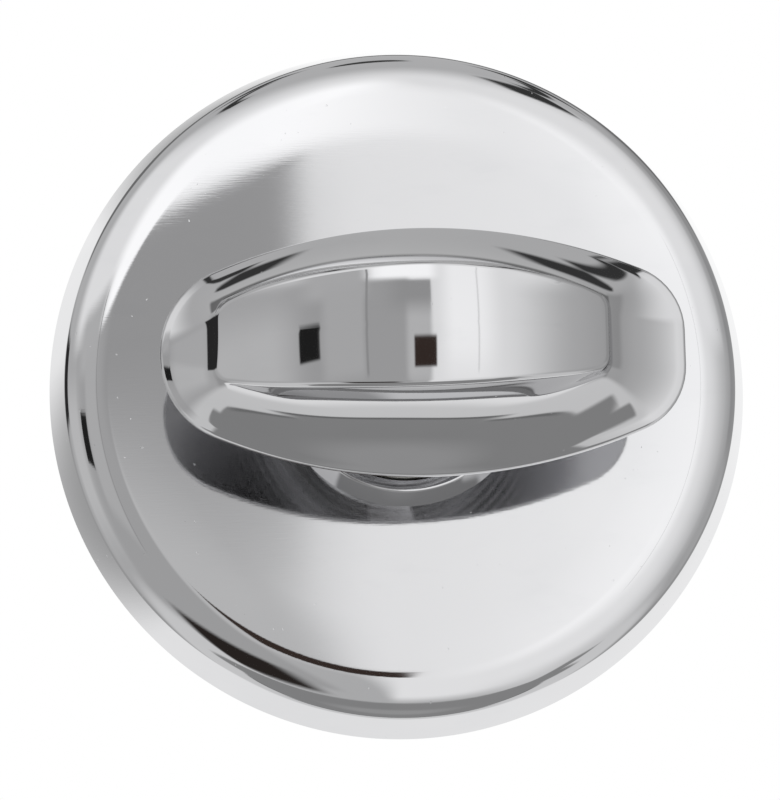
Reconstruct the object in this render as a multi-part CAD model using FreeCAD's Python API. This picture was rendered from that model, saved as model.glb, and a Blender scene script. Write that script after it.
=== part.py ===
import FreeCAD, Part
import math
import os

from FreeCAD import Vector

# Bathroom thumb turn on a round rosette, all sizes in millimetres.
# Each piece is drawn with the door's face as the XY plane and Z pointing out of the door.
# It is then turned so that its front faces -Y, up is +Z and the grip lies along X.

# Rosette cover
rose_radius = 25.0
rose_wall_taper = 1.1
rose_wall_height = 4.0
rose_edge_radius = 2.5
rose_dome_radius = 1200.0
rose_sheet = 1.2
collar_foot_radius = 9.05
collar_top_radius = 8.15
collar_height = 1.4
collar_lip_radius = 0.25

# Base plate
plate_web = 1.6
plate_rim_height = 3.2
plate_rim_width = 1.5
hub_radius = 11.2
hub_web = 1.4
rib_count = 8
rib_width = 1.2
rib_height = 2.6
boss_radius = 4.9

# Snap ring
snap_wire_radius = 0.45
snap_height = 1.0
snap_gap_deg = 24.0

# Turning parts
journal_radius = 6.0
neck_radius = 7.0
neck_flare_radius = 8.2
neck_flare_height = 2.2
shank_tail = 6.0
bush_wall = 1.1
bush_flange_radius = 8.8
bush_flange = 0.7
thrust_washer_thickness = 0.5
wave_washer_sheet = 0.3
wave_washer_height = 0.75
wave_count = 3
wave_points = 8
backing_washer_thickness = 0.5
washer_width = 2.6
ring_thickness = 1.0
ring_groove_depth = 0.25
ring_width = 1.8
ring_drift = 0.36
ring_lug_radius = 1.55
ring_lug_hole_radius = 0.8
ring_gap_deg = 30.0
ring_lug_offset_deg = 12.0

# Grip
rim_back_height = 20.3
rim_thickness = 0.9
rim_half_length = 17.5
rim_half_width = 8.45
rim_end_half = 3.6
rim_corner_radius = 5.5
rim_edge_radius = 0.4
face_half_length = 13.1
face_half_width = 4.15
face_end_half = 3.05
face_corner_radius = 1.1
face_end_rise = 4.9
face_crest_rise = 10.8
face_side_shift = -0.5
face_crown_radius = 30.0
face_edge_radius = 0.35
end_sections = 5
crest_sections = 3

# Spindle and its pin
spindle_side = 6.0
spindle_reach = 50.0
spindle_chamfer = 0.7
socket_depth = 15.0
pin_radius = 1.25
pin_wall = 0.5
pin_slot = 0.5
pin_inset = 0.2
pin_behind_door = 3.2

# Fixing bolts
bolt_inset = 6.0
bolt_radius = 2.0
bolt_head_radius = 3.5
bolt_head_edge = 0.3
bolt_reach = 42.0
bolt_tip_chamfer = 0.5
recess_width = 0.9
recess_span = 3.8
recess_depth = 1.2

# Fits and clearances
running_fit = 0.05
end_play = 0.05
seat_fit = 0.02
washer_clearance = 0.15
cover_clearance = 0.25
hole_clearance = 0.25
pocket_clearance = 0.4
socket_clearance = 0.04
bolt_clearance = 0.25
head_clearance = 0.05
notch_clearance = 0.75

# Margin for picking edges by where they lie
pick_margin = 0.01

# Cover profile worked out from the wall, the edge round and the dome
rose_wall_top_radius = rose_radius - rose_wall_taper
wall_draft = math.atan2(rose_wall_taper, rose_wall_height)
edge_centre_r = rose_wall_top_radius - rose_edge_radius * math.cos(wall_draft)
edge_centre_z = rose_wall_height - rose_edge_radius * math.sin(wall_draft)
dome_centre_z = edge_centre_z - math.sqrt((rose_dome_radius - rose_edge_radius) ** 2 - edge_centre_r ** 2)
dome_edge_angle = math.atan2(edge_centre_z - dome_centre_z, edge_centre_r)


def dome_height(radius, depth=0.0):
    """Height of the cover's front face at a radius, or of its inside at a depth below."""
    return dome_centre_z + math.sqrt((rose_dome_radius - depth) ** 2 - radius ** 2)


def cover_inner_radius(height):
    """Radius of the inside of the cover's tapered wall at a height."""
    return rose_radius - rose_sheet / math.cos(wall_draft) - height * math.tan(wall_draft)


collar_foot_height = dome_height(collar_foot_radius)
collar_top_height = collar_foot_height + collar_height

# Stack along the axis, from the cover's ceiling to the back of the door face
hub_top = dome_height(hub_radius, rose_sheet) - cover_clearance
pocket_depth = hub_top - hub_web
bush_back = pocket_depth - bush_flange
wave_back = bush_back - end_play - wave_washer_height
backing_back = wave_back - backing_washer_thickness
ring_back = backing_back - ring_thickness
shoulder_height = collar_top_height - thrust_washer_thickness
bush_front = shoulder_height - end_play - thrust_washer_thickness
shank_back = -shank_tail

# Radii that follow from the shank
bush_bore_radius = journal_radius + running_fit
bush_radius = bush_bore_radius + bush_wall
hub_bore_radius = bush_radius + seat_fit
cover_hole_radius = max(bush_radius, neck_radius) + hole_clearance
washer_bore_radius = journal_radius + washer_clearance
washer_radius = washer_bore_radius + washer_width
ring_groove_radius = journal_radius - ring_groove_depth
ring_lug_reach = ring_groove_radius + ring_width + ring_lug_radius
pocket_radius = max(ring_lug_reach, washer_radius, bush_flange_radius) + pocket_clearance
snap_ring_radius = cover_inner_radius(snap_height) - cover_clearance / 2

# Bolts set in from the rosette's edge, with heads whose ninety-degree cone starts at the door's face
bolt_spacing = 2 * (rose_radius - bolt_inset)
head_cone_height = bolt_head_radius - bolt_radius
head_top = head_cone_height + bolt_head_edge

# Heights of the grip
rim_front_height = rim_back_height + rim_thickness
crest_height = rim_front_height + face_crest_rise


def ring_profile(points):
    """Closed face in the XZ plane from radius and height pairs joined by straight lines."""
    corners = [Vector(radius, 0, height) for radius, height in points]
    return Part.Face(Part.makePolygon(corners + corners[:1]))


def revolved(face):
    """Full turn of a profile about the spindle axis."""
    return face.revolve(Vector(0, 0, 0), Vector(0, 0, 1), 360)


def tube(inner, outer, bottom, top):
    """Plain ring between two radii and two heights."""
    blank = Part.makeCylinder(outer, top - bottom, Vector(0, 0, bottom))
    return blank.cut(Part.makeCylinder(inner, top - bottom, Vector(0, 0, bottom)))


def on_edge_round(radius, angle):
    """Point of the cover's edge round, given by its radius and the angle of its normal."""
    return Vector(edge_centre_r + radius * math.cos(angle), 0, edge_centre_z + radius * math.sin(angle))


def shell_side(depth, inner_radius):
    """Wall, edge round and dome of the cover, as edges at a depth below the outer skin."""
    round_radius = rose_edge_radius - depth
    foot = Vector(rose_radius - depth / math.cos(wall_draft), 0, 0)
    wall_top = on_edge_round(round_radius, wall_draft)
    round_middle = on_edge_round(round_radius, (wall_draft + dome_edge_angle) / 2)
    round_top = on_edge_round(round_radius, dome_edge_angle)
    middle_radius = (round_top.x + inner_radius) / 2
    dome_middle = Vector(middle_radius, 0, dome_height(middle_radius, depth))
    dome_end = Vector(inner_radius, 0, dome_height(inner_radius, depth))
    wall = Part.LineSegment(foot, wall_top).toShape()
    edge_round = Part.Arc(wall_top, round_middle, round_top).toShape()
    dome = Part.Arc(round_top, dome_middle, dome_end).toShape()
    return [wall, edge_round, dome], foot, dome_end


def snap_groove():
    """Round channel that the snap wire sits in."""
    return Part.makeTorus(snap_ring_radius, snap_wire_radius + seat_fit, Vector(0, 0, snap_height))


def rosette_cover():
    """Turned cap: tapered wall, edge round, shallow dome and a raised collar round the neck."""
    outer, outer_foot, outer_end = shell_side(0.0, collar_foot_radius)
    inner, inner_foot, inner_end = shell_side(rose_sheet, cover_hole_radius)
    collar_edge = Vector(collar_top_radius, 0, collar_top_height)
    collar_inner = Vector(cover_hole_radius, 0, collar_top_height)
    collar = Part.makePolygon([outer_end, collar_edge, collar_inner, inner_end]).Edges
    bottom = Part.LineSegment(inner_foot, outer_foot).toShape()
    profile = Part.Wire(Part.__sortEdges__(outer + collar + inner + [bottom]))
    cap = revolved(Part.Face(profile))
    lips = [edge for edge in cap.Edges
            if edge.BoundBox.ZMin > collar_top_height - pick_margin
            and edge.BoundBox.XMax > cover_hole_radius + pick_margin]
    cap = cap.makeFillet(collar_lip_radius, lips)
    return cap.cut(snap_groove())


def plate_outer_radius(height):
    """Radius of the base plate's rim, which follows the inside of the cover's wall."""
    return cover_inner_radius(height) - cover_clearance


def base_plate():
    """Die-cast plate: web, tapered rim, ribs, hub with a pocket behind, and two bolt bosses."""
    rim_top_radius = plate_outer_radius(plate_rim_height)
    profile = [(0, 0), (plate_outer_radius(0), 0), (rim_top_radius, plate_rim_height),
               (rim_top_radius - plate_rim_width, plate_rim_height),
               (rim_top_radius - plate_rim_width, plate_web), (hub_radius, plate_web),
               (hub_radius, hub_top), (0, hub_top)]
    plate = revolved(ring_profile(profile))
    envelope = revolved(ring_profile([(0, 0), (plate_outer_radius(0), 0),
                                      (rim_top_radius, plate_rim_height), (0, plate_rim_height)]))
    for number in range(rib_count):
        rib = Part.makeBox(rim_top_radius, rib_width, rib_height, Vector(0, -rib_width / 2, 0))
        rib.rotate(Vector(0, 0, 0), Vector(0, 0, 1), 360.0 * (number + 0.5) / rib_count)
        plate = plate.fuse(rib.common(envelope))
    for place in bolt_places():
        boss = Part.makeCylinder(boss_radius, head_top, place)
        plate = plate.fuse(boss.common(envelope))
    for place in bolt_places():
        plate = plate.cut(bolt_hole(place))
    plate = plate.cut(Part.makeCylinder(hub_bore_radius, hub_top))
    plate = plate.cut(Part.makeCylinder(pocket_radius, pocket_depth))
    return plate.cut(snap_groove()).removeSplitter()


def snap_ring():
    """Split wire ring, sprung into the plate's rim and the cover's groove."""
    ring = Part.makeTorus(snap_ring_radius, snap_wire_radius, Vector(0, 0, snap_height),
                          Vector(0, 0, 1), 0, 360, 360 - snap_gap_deg)
    ring.rotate(Vector(0, 0, 0), Vector(0, 0, 1), -90 + snap_gap_deg / 2)
    return ring


def neck_bush():
    """Nylon sleeve with a flange that bears on the back of the hub's web."""
    sleeve = tube(bush_bore_radius, bush_radius, bush_back, bush_front)
    return sleeve.fuse(tube(bush_bore_radius, bush_flange_radius, bush_back, pocket_depth)).removeSplitter()


def thrust_washer():
    """Nylon ring between the neck's shoulder and the front of the bush."""
    return tube(washer_bore_radius, bush_radius, bush_front, bush_front + thrust_washer_thickness)


def backing_washer():
    """Flat steel washer that spreads the spring washer's load on the retaining ring."""
    return tube(washer_bore_radius, washer_radius, backing_back, wave_back)


def wave_edge(radius):
    """Closed curve of the spring washer's underside at one radius."""
    swing = (wave_washer_height - wave_washer_sheet) / 2
    steps = wave_count * wave_points
    points = []
    for step in range(steps):
        angle = 2 * math.pi * step / steps
        height = wave_back + swing * (1 + math.cos(wave_count * angle))
        points.append(Vector(radius * math.cos(angle), radius * math.sin(angle), height))
    curve = Part.BSplineCurve()
    curve.interpolate(points, PeriodicFlag=True)
    return curve.toShape()


def wave_washer():
    """Spring steel washer pressed into waves round its circle."""
    underside = Part.makeRuledSurface(wave_edge(washer_bore_radius), wave_edge(washer_radius))
    return underside.extrude(Vector(0, 0, wave_washer_sheet))


def retaining_ring():
    """External circlip: eccentric ring, open on one side, with two drilled lugs."""
    base = Vector(0, 0, ring_back)
    outer_radius = ring_groove_radius + ring_width - ring_drift
    ring = Part.makeCylinder(outer_radius, ring_thickness, base + Vector(0, ring_drift, 0))
    lug_circle = ring_groove_radius + ring_width
    for side in (-1, 1):
        angle = math.radians(90 + side * (ring_gap_deg / 2 + ring_lug_offset_deg))
        lug_centre = base + Vector(lug_circle * math.cos(angle), lug_circle * math.sin(angle), 0)
        ring = ring.fuse(Part.makeCylinder(ring_lug_radius, ring_thickness, lug_centre))
        ring = ring.cut(Part.makeCylinder(ring_lug_hole_radius, ring_thickness, lug_centre))
    ring = ring.cut(Part.makeCylinder(ring_groove_radius + seat_fit, ring_thickness, base))
    gap = Part.makeCylinder(pocket_radius, ring_thickness, base, Vector(0, 0, 1), ring_gap_deg)
    gap.rotate(Vector(0, 0, 0), Vector(0, 0, 1), 90 - ring_gap_deg / 2)
    return ring.cut(gap).removeSplitter()


def lens_outline(half_length, half_width, end_half, corner, height, shift):
    """Closed lens: two long arcs, two short straight ends and four rounded corners."""
    drop = half_width - end_half
    arc_radius = (half_length ** 2 + drop ** 2) / (2 * drop)
    arc_centre = half_width - arc_radius
    corner_x = half_length - corner
    corner_y = arc_centre + math.sqrt((arc_radius - corner) ** 2 - corner_x ** 2)
    lean = math.atan2(corner_y - arc_centre, corner_x)
    touch = (corner_x + corner * math.cos(lean), corner_y + corner * math.sin(lean))
    bend = (corner_x + corner * math.cos(lean / 2), corner_y + corner * math.sin(lean / 2))

    def point(x, y):
        return Vector(x + shift, y, height)

    def arc(start, middle, end):
        return Part.Arc(point(*start), point(*middle), point(*end)).toShape()

    edges = []
    for turn in (1, -1):
        edges.append(arc((-touch[0] * turn, touch[1] * turn), (0, half_width * turn),
                         (touch[0] * turn, touch[1] * turn)))
        edges.append(arc((touch[0] * turn, touch[1] * turn), (bend[0] * turn, bend[1] * turn),
                         (half_length * turn, corner_y * turn)))
        edges.append(Part.LineSegment(point(half_length * turn, corner_y * turn),
                                      point(half_length * turn, -corner_y * turn)).toShape())
        edges.append(arc((half_length * turn, -corner_y * turn), (bend[0] * turn, -bend[1] * turn),
                         (touch[0] * turn, -touch[1] * turn)))
    return Part.Wire(edges)


def cove(run, rise, climb):
    """Distance still to go to the face at a height on a hollow flank that ends upright."""
    if climb >= rise:
        return 0.0
    radius = (run ** 2 + rise ** 2) / (2 * run)
    return radius - math.sqrt(radius ** 2 - (rise - climb) ** 2)


def grip_section(climb):
    """Outline of the grip at a height above the rim."""
    length_run = rim_half_length - face_half_length
    width_run = rim_half_width - face_half_width
    length_left = cove(length_run, face_end_rise, climb)
    width_left = cove(width_run, face_crest_rise, climb)
    share = length_left / length_run
    end_half = face_end_half + (rim_end_half - face_end_half) * share
    corner = face_corner_radius + (rim_corner_radius - face_corner_radius) * share
    return lens_outline(face_half_length + length_left, face_half_width + width_left, end_half, corner,
                        rim_front_height + climb, face_side_shift * (1 - share))


def above_face():
    """Everything over the grip's arched and slightly crowned face."""
    sagitta = face_crest_rise - face_end_rise
    arch_radius = (face_half_length ** 2 + sagitta ** 2) / (2 * sagitta)
    centre = Vector(face_side_shift, 0, crest_height - arch_radius)
    half_width = face_half_width + cove(rim_half_width - face_half_width, face_crest_rise, face_end_rise)
    edge_drop = face_crown_radius - math.sqrt(face_crown_radius ** 2 - half_width ** 2)
    lowest = centre - Vector(0, 0, arch_radius)
    edge_points = [lowest + Vector(0, side * half_width, edge_drop) for side in (-1, 1)]
    axis_points = [centre + Vector(0, side * half_width, 0) for side in (1, -1)]
    crown = Part.Arc(edge_points[0], lowest, edge_points[1]).toShape()
    sides = Part.makePolygon([edge_points[1]] + axis_points + [edge_points[0]]).Edges
    drum = Part.Face(Part.Wire(Part.__sortEdges__([crown] + sides))).revolve(centre, Vector(0, 1, 0), 360)
    half_length = face_half_length + face_corner_radius / 2
    floor = rim_front_height + face_end_rise / 2
    block = Part.makeBox(2 * half_length, 2 * half_width, crest_height + face_crest_rise - floor,
                         Vector(face_side_shift - half_length, -half_width, floor))
    return block.cut(drum)


def grip():
    """Lens-shaped grip: rim, coved flanks and the arched face."""
    end_step = face_end_rise / end_sections
    end_climbs = [end_step * number for number in range(end_sections + 1)]
    crest_step = (face_crest_rise - face_end_rise) / crest_sections
    crest_climbs = [face_end_rise + crest_step * number for number in range(1, crest_sections + 2)]
    body = Part.makeLoft([grip_section(climb) for climb in end_climbs + crest_climbs], True, False)
    rim_wire = lens_outline(rim_half_length, rim_half_width, rim_end_half, rim_corner_radius,
                            rim_back_height, 0.0)
    rim = Part.Face(rim_wire).extrude(Vector(0, 0, rim_thickness))
    blank = rim.fuse(body).cut(above_face()).removeSplitter().Solids[0]
    return rounded_grip(blank)


def rounded_grip(blank):
    """The grip with its rim's two edges and the face's outline rounded."""
    face_floor = rim_front_height + face_end_rise / 2
    arched = [face for face in blank.Faces if face.BoundBox.ZMin > face_floor]
    face_edges = [edge for face in arched for edge in face.Edges]
    rim_edges = [edge for edge in blank.Edges
                 if edge.BoundBox.ZMax < rim_front_height + pick_margin
                 and edge.BoundBox.ZLength < pick_margin]
    return blank.makeFillet(face_edge_radius, face_edges).makeFillet(rim_edge_radius, rim_edges)


def neck():
    """Turned neck with its flare, its shoulder and the shank with the circlip groove."""
    groove_top = ring_back + ring_thickness
    flare_start = rim_back_height - neck_flare_height
    flare_end = Vector(neck_flare_radius, 0, rim_back_height)
    flare_foot = Vector(neck_radius, 0, flare_start)
    run = neck_flare_radius - neck_radius
    flare_middle = Vector(neck_radius + run * (1 - math.cos(math.pi / 4)), 0,
                          flare_start + neck_flare_height * math.sin(math.pi / 4))
    flare = Part.Arc(flare_foot, flare_middle, flare_end).toShape()
    corners = [(neck_flare_radius, rim_back_height), (neck_flare_radius, rim_back_height + rim_thickness / 2),
               (0, rim_back_height + rim_thickness / 2), (0, shank_back),
               (journal_radius, shank_back), (journal_radius, ring_back), (ring_groove_radius, ring_back),
               (ring_groove_radius, groove_top), (journal_radius, groove_top),
               (journal_radius, shoulder_height), (neck_radius, shoulder_height), (neck_radius, flare_start)]
    lines = Part.makePolygon([Vector(radius, 0, height) for radius, height in corners]).Edges
    return revolved(Part.Face(Part.Wire(Part.__sortEdges__([flare] + lines))))


def square_bar(side, bottom, top):
    """Square bar on the spindle axis."""
    return Part.makeBox(side, side, top - bottom, Vector(-side / 2, -side / 2, bottom))


def pin_hole(clearance):
    """Cross hole for the spring pin."""
    return Part.makeCylinder(pin_radius + clearance, 2 * journal_radius,
                             Vector(-journal_radius, 0, -pin_behind_door), Vector(1, 0, 0))


def thumb_turn():
    """The one casting that is gripped: grip, neck and shank, with the spindle's socket."""
    turn = grip().fuse(neck()).removeSplitter()
    turn = turn.cut(square_bar(spindle_side + 2 * socket_clearance, shank_back, shank_back + socket_depth))
    return turn.cut(pin_hole(seat_fit))


def spindle():
    """Square bar that drives the lock's follower, chamfered at its free end."""
    bar = square_bar(spindle_side, -spindle_reach, shank_back + socket_depth - socket_clearance)
    free_end = [edge for edge in bar.Edges if edge.BoundBox.ZMax < -spindle_reach + pick_margin]
    return bar.makeChamfer(spindle_chamfer, free_end).cut(pin_hole(seat_fit))


def spindle_pin():
    """Slotted spring pin through the shank and the spindle."""
    length = 2 * (journal_radius - pin_inset)
    start = Vector(-length / 2, 0, -pin_behind_door)
    pin = Part.makeCylinder(pin_radius, length, start, Vector(1, 0, 0))
    pin = pin.cut(Part.makeCylinder(pin_radius - pin_wall, length, start, Vector(1, 0, 0)))
    return pin.cut(Part.makeBox(length, pin_slot, pin_radius, start - Vector(0, pin_slot / 2, 0)))


def bolt_places():
    """Where the two fixing bolts pass the door's face."""
    return [Vector(side * bolt_spacing / 2, 0, 0) for side in (-1, 1)]


def bolt_hole(place):
    """Clearance hole and countersink for one fixing bolt, with the rim notched above its head."""
    seat_radius = bolt_head_radius + head_clearance
    hole = Part.makeCylinder(bolt_radius + bolt_clearance, plate_rim_height, place)
    cone = Part.makeCone(bolt_radius + head_clearance, seat_radius, head_cone_height, place)
    mouth = Part.makeCylinder(seat_radius, bolt_head_edge, place + Vector(0, 0, head_cone_height))
    notch = Part.makeCylinder(bolt_head_radius + notch_clearance, plate_rim_height,
                              place + Vector(0, 0, head_top))
    return hole.fuse(cone).fuse(mouth).fuse(notch)


def fixing_bolt(place):
    """Countersunk bolt with a cross recess, its head flush with the boss."""
    profile = [(0, -bolt_reach), (bolt_radius - bolt_tip_chamfer, -bolt_reach),
               (bolt_radius, -bolt_reach + bolt_tip_chamfer), (bolt_radius, 0),
               (bolt_head_radius, head_cone_height), (bolt_head_radius, head_top), (0, head_top)]
    bolt = revolved(ring_profile(profile))
    bottom = head_top - recess_depth
    for length, width in ((recess_span, recess_width), (recess_width, recess_span)):
        bolt = bolt.cut(Part.makeBox(length, width, recess_depth, Vector(-length / 2, -width / 2, bottom)))
    bolt.translate(place)
    return bolt


def fixing_bolts():
    """Both bolts as one group of separate solids."""
    return Part.makeCompound([fixing_bolt(place) for place in bolt_places()])


PIECES = {
    "rosette_cover": rosette_cover,
    "base_plate": base_plate,
    "snap_ring": snap_ring,
    "neck_bush": neck_bush,
    "thrust_washer": thrust_washer,
    "wave_washer": wave_washer,
    "backing_washer": backing_washer,
    "retaining_ring": retaining_ring,
    "thumb_turn": thumb_turn,
    "spindle": spindle,
    "spindle_pin": spindle_pin,
    "fixing_bolts": fixing_bolts,
}


def main():
    """Build every piece, stand it on the door and write it out."""
    os.makedirs("parts", exist_ok=True)
    for name, build in PIECES.items():
        shape = build()
        shape.rotate(Vector(0, 0, 0), Vector(1, 0, 0), 90)
        print(name, len(shape.Solids), shape.isValid(), round(shape.Volume, 2), shape.BoundBox)
        shape.exportStep("parts/" + name + ".step")


main()
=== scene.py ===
import logging
import math
from dataclasses import dataclass
from enum import Enum
from typing import Any, Callable, Sequence

import bmesh
import bpy
from mathutils import Matrix, Vector


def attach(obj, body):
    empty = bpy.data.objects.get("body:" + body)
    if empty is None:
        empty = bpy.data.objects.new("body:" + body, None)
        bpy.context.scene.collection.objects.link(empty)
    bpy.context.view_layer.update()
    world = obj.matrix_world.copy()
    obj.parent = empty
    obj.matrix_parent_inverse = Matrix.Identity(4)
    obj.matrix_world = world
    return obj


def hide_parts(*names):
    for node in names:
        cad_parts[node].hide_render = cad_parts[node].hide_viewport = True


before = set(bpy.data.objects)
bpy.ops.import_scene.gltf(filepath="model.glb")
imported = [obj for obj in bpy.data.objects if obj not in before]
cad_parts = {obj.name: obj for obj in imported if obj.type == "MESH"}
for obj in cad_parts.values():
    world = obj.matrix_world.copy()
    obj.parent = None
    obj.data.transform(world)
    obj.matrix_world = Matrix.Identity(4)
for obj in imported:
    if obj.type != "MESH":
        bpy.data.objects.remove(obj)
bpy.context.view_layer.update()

# Dresses the bathroom thumb turn: the chrome rosette and turn, and the hardware behind them.
# Pieces are drawn in millimetres with the door's face as the XY plane and Z out of the door.
# They are then scaled to metres and stood up, so that the front faces -Y and up is +Z.

LOG = logging.getLogger("thumb_turn")
MM = 0.001
DOOR_TO_ROW = Matrix.Rotation(math.radians(90.0), 4, "X") @ Matrix.Scale(MM, 4)
FULL_TURN = 2.0 * math.pi
MERGE_MM = 1e-4

Number = float | int
Colour = tuple[float, float, float]
Pair = tuple[float, float]

ZINC_PLATE: tuple[Colour, Colour] = ((0.60, 0.61, 0.64), (0.52, 0.54, 0.59))


class Body(Enum):
    """CAD bodies that pieces ride on."""

    ROSE = "rose"
    TURN = "turn"


class Slot(Enum):
    """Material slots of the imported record."""

    CHROME_COVER = "chrome_cover"
    CHROME_TURN = "chrome_turn"
    CAST_ZINC = "cast_zinc"
    SPRING_STEEL = "spring_steel"
    DARK_SPRING_STEEL = "dark_spring_steel"
    PLATED_STEEL = "plated_steel"
    NYLON = "nylon"


class Value:
    """A shader socket that takes part in Python expressions and adds Math nodes for them."""

    def __init__(self, shader: "Shader", socket: bpy.types.NodeSocket) -> None:
        """Wrap an output socket.

        Args:
            shader: The tree that the socket belongs to.
            socket: The output socket to wrap.
        """
        self.shader = shader
        self.socket = socket

    def math(self, operation: str, *terms: "Value | Number") -> "Value":
        """Add a Math node.

        Args:
            operation: The node's operation.
            terms: Its inputs, in order.

        Returns:
            The node's output.
        """
        node = self.shader.node("ShaderNodeMath", {"operation": operation}, dict(enumerate(terms)))
        return Value(self.shader, node.outputs[0])

    def __add__(self, other: "Value | Number") -> "Value":
        """Sum of two values."""
        return self.math("ADD", self, other)

    def __sub__(self, other: "Value | Number") -> "Value":
        """Difference of two values."""
        return self.math("SUBTRACT", self, other)

    def __mul__(self, other: "Value | Number") -> "Value":
        """Product of two values."""
        return self.math("MULTIPLY", self, other)

    def __pow__(self, other: "Value | Number") -> "Value":
        """This value to a power."""
        return self.math("POWER", self, other)

    def __neg__(self) -> "Value":
        """This value with its sign changed."""
        return self.math("MULTIPLY", self, -1.0)

    def magnitude(self) -> "Value":
        """This value without its sign."""
        return self.math("ABSOLUTE", self)

    def sine(self) -> "Value":
        """Sine of this value in radians."""
        return self.math("SINE", self)

    def rise(self, low: Number, high: Number) -> "Value":
        """Smooth step from 0 at low to 1 at high.

        Args:
            low: Where the step starts.
            high: Where it ends.

        Returns:
            The stepped value.
        """
        node = self.shader.node(
            "ShaderNodeMapRange",
            {"interpolation_type": "SMOOTHSTEP", "clamp": True},
            {"Value": self, "From Min": low, "From Max": high},
        )
        return Value(self.shader, node.outputs["Result"])

    def window(self, low: Number, high: Number, soft_low: Number, soft_high: Number) -> "Value":
        """Smooth window that is 1 between low and high.

        Args:
            low: Lower edge of the window, at half height.
            high: Upper edge of the window, at half height.
            soft_low: Width over which the lower edge fades.
            soft_high: Width over which the upper edge fades.

        Returns:
            The window's mask.
        """
        opened = self.rise(low - soft_low / 2, low + soft_low / 2)
        return opened * self.rise(high + soft_high / 2, high - soft_high / 2)


class Shader:
    """A node tree with one way to add nodes."""

    def __init__(self, tree: bpy.types.NodeTree) -> None:
        """Start from an empty tree.

        Args:
            tree: The node tree to fill.
        """
        self.tree = tree
        tree.nodes.clear()

    def node(self, kind: str, settings: dict[str, Any] | None = None,
             inputs: dict[int | str, Any] | None = None) -> bpy.types.Node:
        """Add any node.

        Args:
            kind: The node's type.
            settings: Its properties, set first.
            inputs: Values or links of its sockets, by name or number.

        Returns:
            The new node.
        """
        node = self.tree.nodes.new(kind)
        for name, setting in (settings or {}).items():
            setattr(node, name, setting)
        for key, given in (inputs or {}).items():
            if isinstance(given, Value):
                self.tree.links.new(given.socket, node.inputs[key])
            elif isinstance(given, bpy.types.NodeSocket):
                self.tree.links.new(given, node.inputs[key])
            else:
                node.inputs[key].default_value = given
        return node

    def value(self, node: bpy.types.Node, output: int | str = 0) -> Value:
        """Wrap one of a node's outputs."""
        return Value(self, node.outputs[output])

    def mix(self, factor: "Value | Number", first: Any, second: Any) -> bpy.types.NodeSocket:
        """Mix two colours.

        Args:
            factor: 0 gives the first colour and 1 the second.
            first: A colour of three numbers, or a socket.
            second: A colour of three numbers, or a socket.

        Returns:
            The mixed colour's socket.
        """
        colours = [(*c, 1.0) if isinstance(c, tuple) else c for c in (first, second)]
        node = self.node("ShaderNodeMix", {"data_type": "RGBA"}, {0: factor, 6: colours[0], 7: colours[1]})
        return node.outputs[2]

    def place(self) -> bpy.types.NodeSocket:
        """Object coordinates of the surface."""
        return self.node("ShaderNodeTexCoord").outputs["Object"]

    def axes(self, vector: bpy.types.NodeSocket) -> tuple[Value, Value, Value]:
        """Split a vector into its three values."""
        node = self.node("ShaderNodeSeparateXYZ", inputs={0: vector})
        return self.value(node, 0), self.value(node, 1), self.value(node, 2)

    def noise(self, vector: bpy.types.NodeSocket, scale: Number, detail: Number = 2.0,
              rough: Number = 0.5) -> Value:
        """Add a noise texture.

        Args:
            vector: Where it is read.
            scale: Cells per metre.
            detail: Octaves.
            rough: How strongly the fine octaves show.

        Returns:
            The noise's value, about 0.5.
        """
        node = self.node("ShaderNodeTexNoise", inputs={
            "Vector": vector, "Scale": scale, "Detail": detail, "Roughness": rough})
        return self.value(node, 0)

    def stretched(self, vector: bpy.types.NodeSocket, scale: Sequence[float],
                  turn_deg: Sequence[float] = (0.0, 0.0, 0.0)) -> bpy.types.NodeSocket:
        """Turn and stretch a pattern's coordinates.

        Args:
            vector: The coordinates.
            scale: Stretch along each axis.
            turn_deg: Turn about each axis, in degrees.

        Returns:
            The mapped coordinates.
        """
        node = self.node("ShaderNodeMapping", inputs={
            "Vector": vector, "Scale": tuple(scale), "Rotation": tuple(math.radians(t) for t in turn_deg)})
        return node.outputs[0]

    def bump(self, height: Value, strength: Number, distance: Number) -> bpy.types.NodeSocket:
        """Turn a height into a normal.

        Args:
            height: The height, about 0 to 1.
            strength: Share of the effect.
            distance: Depth in metres of a height of 1.

        Returns:
            The normal's socket.
        """
        node = self.node("ShaderNodeBump", inputs={"Strength": strength, "Distance": distance, "Height": height})
        return node.outputs[0]


def new_material(name: str) -> tuple[bpy.types.Material, Shader]:
    """Make an empty material.

    Args:
        name: The material's name.

    Returns:
        The material and its shader tree.
    """
    material = bpy.data.materials.new(name)
    material.use_nodes = True
    return material, Shader(material.node_tree)


def surface(shader: Shader, inputs: dict[str, Any]) -> None:
    """Join a principled surface to the output.

    Args:
        shader: The material's tree.
        inputs: Values and links of the principled shader.
    """
    principled = shader.node("ShaderNodeBsdfPrincipled", inputs=inputs)
    shader.node("ShaderNodeOutputMaterial", inputs={"Surface": principled.outputs[0]})


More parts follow.
